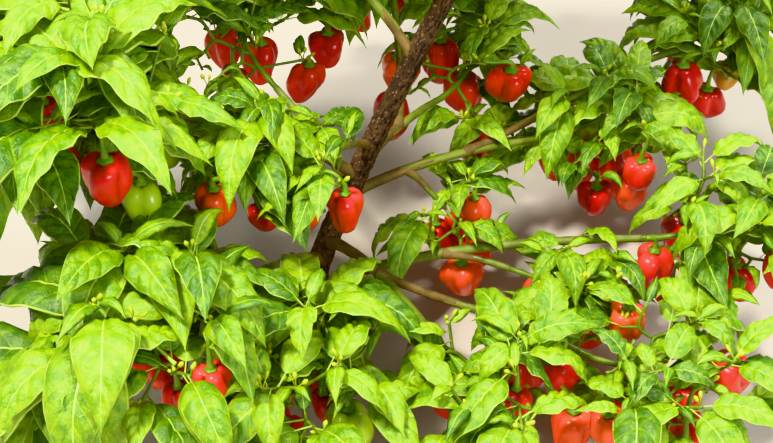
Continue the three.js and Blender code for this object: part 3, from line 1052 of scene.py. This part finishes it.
def add_run(pile, run, index):
    """A run of twigs as a round stem, swollen a little at its nodes."""
    count = len(run)
    line = spline([run[0].start] + [twig.end_point() for twig in run])
    radii = [run[0].root * (RUN["start"] if index else 1)] + [twig.end for twig in run]
    shares = np.linspace(0, 1, RUN["rings"] * count + 1)
    centres = np.array([line.point(s) for s in shares])
    thick = np.interp(shares * count, np.arange(len(radii)), radii)
    near = np.abs(shares * count - np.round(shares * count))
    thick = thick * (1 + RUN["swell"] * np.exp(-((near / RUN["node"]) ** 2)))
    add_tube(pile, centres, thick, RUN["sides"], YOUNG_STEM)


# Buds: the odds that a tip carries some, and the radii of one on its stalk at shares of its length.
BUD_ODDS = 0.5
BUD_SHARES = np.array([0, 0.5, 0.66, 0.84, 1.0])
BUD_RADII = np.array([0.7, 0.6, 1.9, 2.2, 0.7])
BUD_SIDES = 5


def add_buds(pile, twig, draw):
    """A few small buds amid a tip's leaves, each on its own short stalk."""
    start = twig.end_point() - twig.heading * 2
    for _ in range(2 + int(draw() * 3)):
        bearing, tilt = draw() * 2 * math.pi, 0.2 + 0.8 * draw()
        flat = math.sin(tilt)
        out = np.array([math.cos(bearing) * flat, math.sin(bearing) * flat, math.cos(tilt)])
        long = 7 + 7 * draw()
        radii = BUD_RADII * (0.8 + 0.4 * draw())
        add_tube(pile, start + out * (BUD_SHARES * long * 1.3)[:, None], radii, BUD_SIDES, BUD)


# Fruit: a lobed lantern, dimpled at its stalk and drawn in to a blunt point. Each row is a share of its half
# width and of its length.
FRUIT_PROFILE = np.array([
    (0.2, 0.05), (0.44, 0.005), (0.68, 0.02), (0.86, 0.09), (0.96, 0.19), (1, 0.32), (0.97, 0.45),
    (0.89, 0.57), (0.77, 0.69), (0.62, 0.8), (0.46, 0.89), (0.28, 0.955), (0.12, 0.99),
])
FRUIT_SIDES = 26

# The calyx in the same shares, toothed on the rings that lie furthest out.
CALYX_RINGS = ((0.14, -0.06), (0.21, -0.03), (0.28, -0.01), (0.32, 0.012), (0.16, 0.06))
CALYX_SIDES = 20
TOOTHED = 0.25
STALK_SIDES = 7


def side_of(plan):
    return np.array([-plan["out"][1], plan["out"][0], 0])


def fruit_rings(plan):
    """Rings of a fruit whose lobes are parted by creases from shoulder to tip."""
    radius, depth = FRUIT_PROFILE[:, 0], FRUIT_PROFILE[:, 1] ** plan["belly"]
    around, turn = angles_round(FRUIT_SIDES), plan["turn"]
    wave = 0.25 * np.sin(depth * 5 + turn * 2)[:, None]
    crease = (1 - np.abs(np.sin(plan["lobes"] * around / 2 + turn + wave))) ** 1.5
    fade = np.sin(math.pi * np.clip(depth + 0.12, 0, 1) ** 0.8)[:, None] ** 0.4
    rounds = plan["wide"] * radius[:, None] * (1 - plan["crease"] * crease * fade)
    rounds = rounds * (1 + 0.07 * np.sin(around + turn * 3) + 0.04 * np.sin(2 * around + turn))[None]
    rounds *= 1 + 0.05 * np.sin(depth * 8 + turn)[:, None]
    rounds *= 1 + 0.03 * np.sin(5 * around[None] + depth[:, None] * 7 + turn * 5)
    drop = plan["long"] * (depth[:, None] + 0.05 * crease * (1 - depth[:, None]) ** 4)
    x, y = rounds * np.cos(around), rounds * np.sin(around)
    side = side_of(plan)
    lean = plan["lean"] * drop * (0.5 + 0.5 * drop / plan["long"])
    points = plan["top"] + x[..., None] * plan["out"] + y[..., None] * side - drop[..., None] * UP
    return points + lean[..., None] * side


def add_stalk(pile, plan):
    top = plan["top"] - UP * plan["long"] * 0.05
    line = spline([plan["root"], plan["root"] + plan["out"] * 9 - UP * 3, top + UP * 11, top])
    shares = np.linspace(0, 1, 11)
    add_tube(pile, line.places(shares), 1.9 + 2.2 * shares**3, STALK_SIDES, STALK)


def add_calyx(pile, plan):
    around = angles_round(CALYX_SIDES)
    teeth = 1 + 0.1 * np.cos(5 * around)
    ways = np.cos(around)[:, None] * plan["out"] + np.sin(around)[:, None] * side_of(plan)
    rings = []
    for reach, drop in CALYX_RINGS:
        flare = plan["wide"] * reach * (teeth if reach > TOOTHED else np.ones(CALYX_SIDES))
        rings.append(plan["top"] + flare[:, None] * ways - UP * plan["long"] * drop)
    add_rings(pile, np.array(rings)[:, ::-1], CALYX)


# Bark of the stem and the boughs. The stem's relief tells its ridges from its furrows.
TRUNK_SIDES, TRUNK_STEPS = 54, 250
RIDGE_FROM, FURROW_TO = 0.95, -0.5
BOUGH_SIDES, BOUGH_STEPS = 14, 56

# The distance between a bough's joints, and the length of its collar.
JOINT = 46
COLLAR = 14


def skin_place(angle, across, along):
    """A place to read noise at, on a round skin."""
    return Vector((math.cos(angle) * across, math.sin(angle) * across, along))


def trunk_relief(centres):
    """Furrows that run up the stem, with raised specks between them."""
    relief = np.zeros((len(centres), TRUNK_SIDES))
    for i, (_, _, z) in enumerate(centres):
        for j, angle in enumerate(angles_round(TRUNK_SIDES)):
            ridge = 1 - abs(noise.noise(skin_place(angle, 2.6, z * 0.035) * 1.7)) * 2
            lump = noise.noise(skin_place(angle, 4, z * 0.16))
            speck = noise.noise(skin_place(angle, 9, z * 0.7))
            furrow = 1.7 * max(ridge - 0.62, 0) * 2.6
            relief[i, j] = 0.5 - furrow + 0.7 * lump + 1.2 * max(speck - 0.18, 0) * 2
    return relief


def trunk_frames(centres):
    """Directions across the stem: level at the ground, where it is cut flat, and square to it above."""
    first, second = frames_along(centres)
    leaning = smooth(centres[:, 2] / 24)[:, None]
    flat_first = first * [1, 1, 0]
    flat_first /= norm(flat_first, axis=1)[:, None]
    flat_second = np.cross(UP, flat_first)
    return flat_first * (1 - leaning) + first * leaning, flat_second * (1 - leaning) + second * leaning


def trunk_piece():
    start = next(s for s in np.linspace(0, 0.1, 400) if trunk_line.at(s)[2] >= 0)
    shares = np.linspace(start, 1, TRUNK_STEPS)
    centres = trunk_line.places(shares)
    centres[0][2] = 0
    relief = trunk_relief(centres)
    radii = np.array([trunk_radius(s, c[2]) for s, c in zip(shares, centres)])
    angles = angles_round(TRUNK_SIDES)
    roots = 1 + 0.16 * np.exp(-centres[:, 2] / 22)[:, None] * np.cos(5 * angles + 0.6)[None]
    reach = radii[:, None] * roots + relief
    points = centres[:, None] + reach[..., None] * ways_round(angles, *trunk_frames(centres))
    pile = Pile()
    looks = np.where(relief > RIDGE_FROM, RIDGE, np.where(relief < FURROW_TO, FURROW, BARK))
    add_rings(pile, points, looks)
    piece("trunk_bark", pile, BARK_LOOKS, ["trunk"])


def add_bough(pile, mass):
    """A bough with a collar, joints, ridges and bumps, brown at first and then greener."""
    shares = np.linspace(0, 1, BOUGH_STEPS)
    along = shares * mass.line.length[-1]
    collar = 1 + 0.45 * np.exp(-((along / COLLAR) ** 2))
    radii = limb_radius(mass, shares) * collar
    from_joint = (along + mass.seed * 7) % JOINT - JOINT / 2
    joints = 1 + 0.035 * np.exp(-((from_joint / 3.5) ** 2))
    angles = angles_round(BOUGH_SIDES)
    ridge = 0.16 * np.sin(angles * 4 + mass.seed)[None]
    bumps = [[noise.noise(skin_place(a, 2, x * 0.09 + mass.seed)) for a in angles] for x in along]
    edge = 46 + 16 * (mass.seed % 4) + 12 * np.sin(angles * 3 + mass.seed) + 9 * np.sin(angles * 5)
    looks = np.where(along[:, None] < edge, OLD_STEM, MID_STEM)
    relief = ridge + 0.35 * np.array(bumps)
    add_tube(pile, mass.line.places(shares), radii * joints, BOUGH_SIDES, looks, relief)


def bough_piece():
    pile = Pile()
    for mass in MASSES:
        add_bough(pile, mass)
    piece("boughs", pile, STEM_LOOKS, [f"bough_{mass.name}" for mass in MASSES])


ALL_LEAVES = [f"leaves_{mass.name}" for mass in MASSES]


def leaf_pieces():
    for region, names in REGIONS.items():
        pile = Pile()
        add_blades(pile, gathered([plan for name in names for plan in BY_NAME[name].large]), LARGE)
        piece("foliage_" + region, pile, LEAF_LOOKS, [f"leaves_{name}" for name in names])
    pile = Pile()
    add_blades(pile, gathered([plan for mass in MASSES for plan in mass.small]), SMALL)
    piece("young_leaves", pile, LEAF_LOOKS, ALL_LEAVES)


def twig_piece():
    pile = Pile()
    for mass in MASSES:
        for i, run in enumerate(mass.runs):
            kept = [twig for twig in run if twig.is_kept()]
            if kept:
                add_run(pile, kept, i)
    piece("twigs", pile, STEM_LOOKS, ALL_LEAVES)


def fruit_pieces():
    fruit, stalks = Pile(), Pile()
    for mass in MASSES:
        for plan in mass.fruits:
            add_rings(fruit, fruit_rings(plan)[:, ::-1], plan["look"])
            add_stalk(stalks, plan)
            add_calyx(stalks, plan)
    piece("fruit", fruit, FRUIT_LOOKS, ALL_LEAVES)
    piece("fruit_stalks", stalks, STALK_LOOKS, ALL_LEAVES)


def bud_piece():
    pile = Pile()
    for mass in MASSES:
        for i, twig in enumerate(mass.twigs):
            draw = seeded(mass.seed * 100 + SEED["bud"] + i)
            if not twig.children and twig.is_kept() and draw() < BUD_ODDS:
                add_buds(pile, twig, draw)
    piece("buds", pile, STALK_LOOKS, ALL_LEAVES)


def set_up(name, data, place, way):
    """An object that looks this way from its place."""
    made = bpy.data.objects.new(name, data)
    made.location = place
    made.rotation_euler = Vector(way).to_track_quat("-Z", "Y").to_euler()
    scene.collection.objects.link(made)
    return made


def camera():
    data = bpy.data.cameras.new("camera")
    data.lens = FOCAL
    data.sensor_width = SENSOR
    scene.camera = set_up("camera", data, EYE * MM, FORWARD)


# Each light's name, place, target, size, power and colour.
LIGHTS = [
    ("key", (-0.8, -0.9, 2.9), (0.1, 0, 0.25), 0.4, 150, (1.0, 0.96, 0.86)),
    ("fill", (1.5, -1.9, 1.5), (0.1, 0, 0.3), 1.2, 46, (0.95, 0.98, 1.0)),
    ("rim", (0.9, 1.3, 2.6), (0.2, 0, 0.4), 0.8, 70, (1.0, 0.97, 0.9)),
]

# The floor: half its width, and how far it lies below the stem.
FLOOR_HALF = 6
FLOOR_DROP = 0.001


def area_light(name, place, target, size, power, colour):
    data = bpy.data.lights.new(name, "AREA")
    data.shape = "DISK"
    data.size = size
    data.energy = power
    data.color = colour
    set_up(name, data, place, Vector(target) - Vector(place))


def studio():
    floor_mesh = bpy.data.meshes.new("floor")
    corners = ((-1, -1, 0), (1, -1, 0), (1, 1, 0), (-1, 1, 0))
    floor_mesh.from_pydata(np.array(corners) * FLOOR_HALF, [], [(0, 1, 2, 3)])
    floor = bpy.data.objects.new("floor", floor_mesh)
    floor.location.z = -FLOOR_DROP
    floor_mesh.materials.append(material("floor_paint", (206, 198, 184), (212, 205, 192), 0.7, 3, 0.05))
    scene.collection.objects.link(floor)
    world = bpy.data.worlds.new("studio")
    world.use_nodes = True
    background = world.node_tree.nodes["Background"]
    background.inputs["Color"].default_value = (0.9, 0.95, 1.0, 1)
    background.inputs["Strength"].default_value = 0.4
    scene.world = world
    for light in LIGHTS:
        area_light(*light)


def grow():
    """Twigs, then fruit in sight, other fruit and leaves: each keeps clear of what came before."""
    for mass in MASSES:
        grow_stems(mass)
    draw = seeded(7)
    for places, looks, room, size in IN_SIGHT:
        for place in places:
            hang_in_sight(place, looks, room, size, draw)
    for mass in MASSES:
        grow_fruit(mass)
    keep_sight_open()
    for region, names in REGIONS.items():
        for name in names:
            grow_leaves(BY_NAME[name], LEAF_SCALE[region])


camera()
trunk_piece()
bough_piece()
grow()
leaf_pieces()
twig_piece()
fruit_pieces()
bud_piece()
studio()
scene.view_settings.view_transform = "Khronos PBR Neutral"
